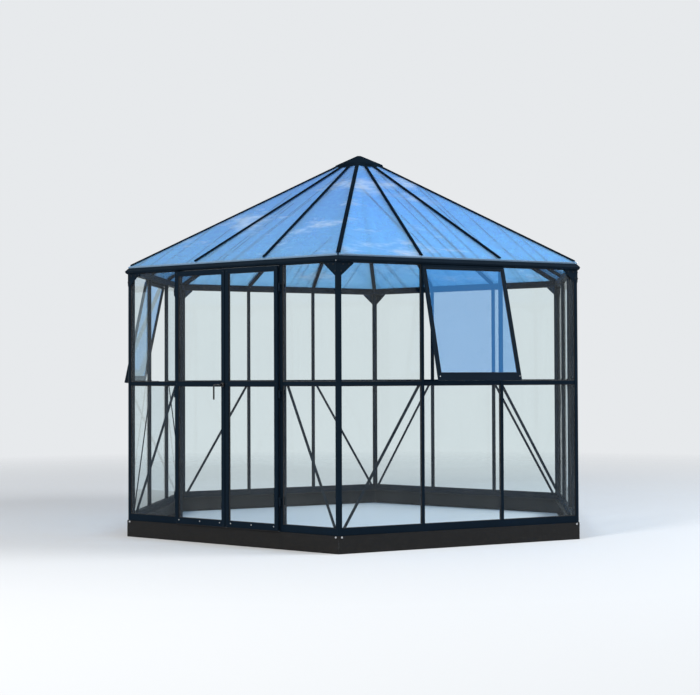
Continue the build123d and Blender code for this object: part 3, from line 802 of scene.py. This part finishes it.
# Brushes under the door leaves
brush_end_gap, brush_holder, brush_holder_half = 0.001, 0.0018, 0.0035
tuft_pitch, tuft_width, tuft_half, tuft_end, tuft_lean = 0.004, 0.003, 0.0015, 0.0075, 0.0007
holder_foot, tuft_foot = leaf_low - brush_holder, leaf_low - tuft_end
for side_name, way in door_sides.items():
    brush = Shape()
    low, high = sorted((way * (leaf_meeting + brush_end_gap), way * (leaf_edge - brush_end_gap)))
    place = at_wall(walls["front"], leaf_middle_out)
    brush.block((low, holder_foot, -brush_holder_half), (high, leaf_low, brush_holder_half), place)
    for i in range(int((high - low) / tuft_pitch)):
        x = low + (i + 0.5) * tuft_pitch
        lean = random.uniform(-tuft_lean, tuft_lean)
        outline = [
            (x, holder_foot),
            (x + lean, tuft_foot),
            (x + lean + tuft_width, tuft_foot),
            (x + tuft_width, holder_foot),
        ]
        brush.prism(outline, -tuft_half, tuft_half, place)
    brush.piece(f"door_{side_name}_brush", f"door_{side_name}", rubber)

# Handle: a collar on the rose, and its two screws
collar_radius, collar_corners, rose_screw_shift = 0.0108, 32, 0.0135
collar_section = [(0, 0), (0, 0.0022), (0.0010, 0.0028), (0.0036, 0.0028), (0.0036, 0)]
rose_face = leaf_out + seat + rose_thickness
handle_place = at_wall(walls["front"], rose_face, -meeting_stile, transom_middle - handle_drop)
rose_collar = Shape()
rose_collar.strip(circle(collar_radius, collar_corners), collar_section, handle_place)
for shift in (-rose_screw_shift, rose_screw_shift):
    pan_screw(rose_collar, moved(handle_place, 0, shift, 0), radius=0.0024)
rose_collar.piece("door_left_rose_collar", "door_left", handle_black)

# Windows: screws in their bars, hinge knuckles under the head, and the fittings at both ends of the stays
knuckles, knuckle_end, knuckle_gap, knuckle_lift = 9, 0.002, 0.0006, 0.0021
knuckle_radii = (0.0016, 0.0019)
knuckle_span = 2 * (window_half - knuckle_end) / knuckles
foot_out, foot_half, foot_depth, foot_height, foot_screw_shift = 0.011, 0.014, 0.014, 0.0025, 0.0095
bracket_half, bracket_half_height, bracket_thickness, bracket_screw_shift = 0.013, 0.008, 0.002, 0.0098
bottom_bar_middle, top_bar_middle = -window_drop + window_bottom_bar / 2, -window_top_bar / 2
window_screws, window_hinges, stay_fittings = Shape(), Shape(), Shape()
for side_name, wall_name in window_walls.items():
    face = at_window(side_name, window_thickness / 2)
    for way in (-1, 1):
        for tone, y in enumerate((bottom_bar_middle, top_bar_middle)):
            window_screws.tone = tone
            pan_screw(window_screws, moved(face, way * (window_half - window_bar / 2), y, 0), radius=0.0035)
    for i in range(knuckles):
        start = -window_half + knuckle_end + i * knuckle_span
        place = turned(moved(at_window(side_name), start, knuckle_lift, 0), 90, "Y")
        radius, end = knuckle_radii[i % 2], knuckle_span - knuckle_gap
        knuckle = [(0, knuckle_gap), (radius, knuckle_gap), (radius, end), (0, end)]
        window_hinges.lathe(knuckle, sides=12, place=place)
    foot = at_wall(walls[wall_name], foot_out, 0, transom_high)
    stay_fittings.block((-foot_half, 0.0, -foot_depth), (foot_half, foot_height, 0.0), foot)
    for shift in (-foot_screw_shift, foot_screw_shift):
        place = turned(moved(foot, shift, foot_height, -foot_depth / 2), -90, "X")
        pan_screw(stay_fittings, place, radius=0.003)
    back = turned(moved(at_window(side_name, -window_thickness / 2), 0, bottom_bar_middle, 0), 180, "Y")
    low_corner = (-bracket_half, -bracket_half_height, 0)
    high_corner = (bracket_half, bracket_half_height, bracket_thickness)
    stay_fittings.block(low_corner, high_corner, back)
    for shift in (-bracket_screw_shift, bracket_screw_shift):
        pan_screw(stay_fittings, moved(back, shift, 0, bracket_thickness), radius=0.0026)
window_screws.piece("window_screws", "house", zinc, dark_bolt)
window_hinges.piece("window_hinge_knuckles", "house", hinge_metal)
stay_fittings.piece("window_stay_fittings", "house", hinge_metal)

# Floor, in rings round the middle, that fades into the backdrop
floor_rings, floor_sides, floor_level = (3.0, 6.0, 12.0, 24.0, 60.0), 96, -0.0005
fade_start, fade_end = 4.0, 11.0
points = [(x, y, floor_level) for radius in floor_rings for x, y in circle(radius, floor_sides)]
faces = [list(range(floor_sides))]
for ring in range(len(floor_rings) - 1):
    for i in range(floor_sides):
        a, b = ring * floor_sides + i, ring * floor_sides + (i + 1) % floor_sides
        faces.append([a, a + floor_sides, b + floor_sides, b])
floor_mesh = bpy.data.meshes.new("floor")
floor_mesh.from_pydata(points, [], faces)
floor = bpy.data.objects.new("floor", floor_mesh)
bpy.context.scene.collection.objects.link(floor)

floor_material, tree = new_material("floor")
place = node(tree, "NewGeometry").outputs["Position"]
distance = node(tree, "VectorMath", {0: place}, operation="LENGTH").outputs["Value"]
fade = graded(tree, distance, fade_start, fade_end)
ground = node(tree, "BsdfDiffuse", {"Color": (0.74, 0.75, 0.76, 1)}).outputs[0]
output(tree, mixed_shader(tree, fade, ground, see_through(tree, (1, 1, 1, 1))))
floor_mesh.materials.append(floor_material)

# World: a pale backdrop for the camera and for what is seen in glass, and a softer light on the part
world = bpy.data.worlds.new("studio")
bpy.context.scene.world = world
world.use_nodes = True
tree = world.node_tree
tree.nodes.clear()
path = node(tree, "LightPath").outputs
seen = total(tree, total(tree, path["Is Camera Ray"], path["Is Glossy Ray"]), path["Is Transmission Ray"])
seen = node(tree, "Math", {0: seen, 1: 1.0}, operation="MINIMUM").outputs[0]
lit = node(tree, "Background", {"Color": (0.90, 0.94, 1.0, 1), "Strength": 0.55}).outputs[0]
shown = node(tree, "Background", {"Color": (0.80, 0.82, 0.84, 1), "Strength": 1.0}).outputs[0]
both = mixed_shader(tree, seen, lit, shown)
tree.links.new(both, node(tree, "OutputWorld").inputs["Surface"])


def soft_lamp(name, place, target, size, power, colour):
    """A round area lamp that faces a target."""
    data = bpy.data.lights.new(name, "AREA")
    data.shape, data.size, data.energy, data.color = "DISK", size, power, colour
    lamp = bpy.data.objects.new(name, data)
    lamp.location = place
    lamp.rotation_mode = "QUATERNION"
    lamp.rotation_quaternion = (Vector(target) - Vector(place)).to_track_quat("-Z", "Y")
    bpy.context.scene.collection.objects.link(lamp)


soft_lamp("key", (0.0, -11.0, 7.0), (0, 0, 1.2), size=3.5, power=850, colour=(1.0, 0.96, 0.90))
soft_lamp("fill", (9.0, 4.0, 8.0), (0, 0, 1.5), size=5.0, power=1000, colour=(0.88, 0.94, 1.0))

# The camera stands 11.2 m from the middle at standing chest height, and looks slightly up
camera_distance, camera_height, camera_azimuth = 11.2126, 1.187, 0.5984
look, tilt, roll = camera_azimuth + 0.0069, 0.0204, -0.0035
focal_pixels, picture_width = 1393.43, 700
forward = Vector((-math.sin(look) * math.cos(tilt), math.cos(look) * math.cos(tilt), math.sin(tilt)))
right = Vector((math.cos(look), math.sin(look), 0))
above = right.cross(forward)
camera_right = right * math.cos(roll) + above * math.sin(roll)
camera_up = above * math.cos(roll) - right * math.sin(roll)
camera_data = bpy.data.cameras.new("camera")
camera_data.sensor_width = 36.0
camera_data.lens = focal_pixels / picture_width * camera_data.sensor_width
camera_data.clip_end = 200.0
camera = bpy.data.objects.new("camera", camera_data)
spot = Vector((math.sin(camera_azimuth), -math.cos(camera_azimuth), 0)) * camera_distance
spot.z = camera_height
camera.matrix_world = axes(camera_right, camera_up, -forward, spot)
bpy.context.scene.collection.objects.link(camera)
bpy.context.scene.camera = camera
bpy.context.scene.view_settings.view_transform = "Standard"
